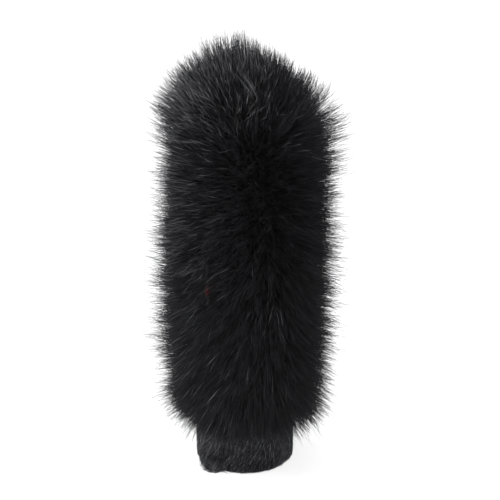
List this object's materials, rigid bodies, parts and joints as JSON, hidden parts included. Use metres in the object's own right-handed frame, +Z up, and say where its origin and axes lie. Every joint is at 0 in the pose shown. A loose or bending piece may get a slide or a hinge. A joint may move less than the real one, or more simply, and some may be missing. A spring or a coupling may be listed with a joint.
{
  "type": "furry microphone windscreen",
  "caption": "Slip-on furry windscreen for a slim microphone: a bored foam windscreen in a lined long-pile fur cover with an elastic cuff; the cover pulls off upwards.",
  "frame": {"origin": "centre of the open lower end, on the plane of the foam's lower face and the cuff's hem, where the windscreen stands", "axes": "+Z up along the microphone bore to the closed furry top; -Y is the side shown to the front; the side seam and its label are at 242 degrees about +Z from +X"},
  "size_m": [0.087, 0.087, 0.196],
  "materials": {
    "foam": "dark grey open-cell foam",
    "lining": "dark tricot mesh",
    "backing": "black knitted ground",
    "fur_pile": "black long pile with a slight sheen",
    "cuff_cloth": "charcoal brushed fleece",
    "elastic": "ribbed elastic",
    "thread": "twisted polyester",
    "label": "black woven ribbon with a dull dark red stripe"
  },
  "bodies": {
    "foam_core": {"foam_windscreen": "foam"},
    "fur_cover": {"lining_sleeve": "lining", "lining_top": "lining", "side_panel_backing": "backing", "side_panel_pile": "fur_pile", "top_panel_backing": "backing", "top_panel_pile": "fur_pile", "side_seam_thread": "thread", "top_seam_thread": "thread", "cuff_band": "cuff_cloth", "cuff_elastic": "elastic", "cuff_join_thread": "thread", "cuff_hem_thread": "thread", "cuff_seam_thread": "thread", "woven_label": "label"}
  },
  "joints": [
    {"name": "cover_pull_off", "type": "slide", "parent": "foam_core", "child": "fur_cover", "axis": [0, 0, 1], "range_m": [0, 0.185]}
  ]
}
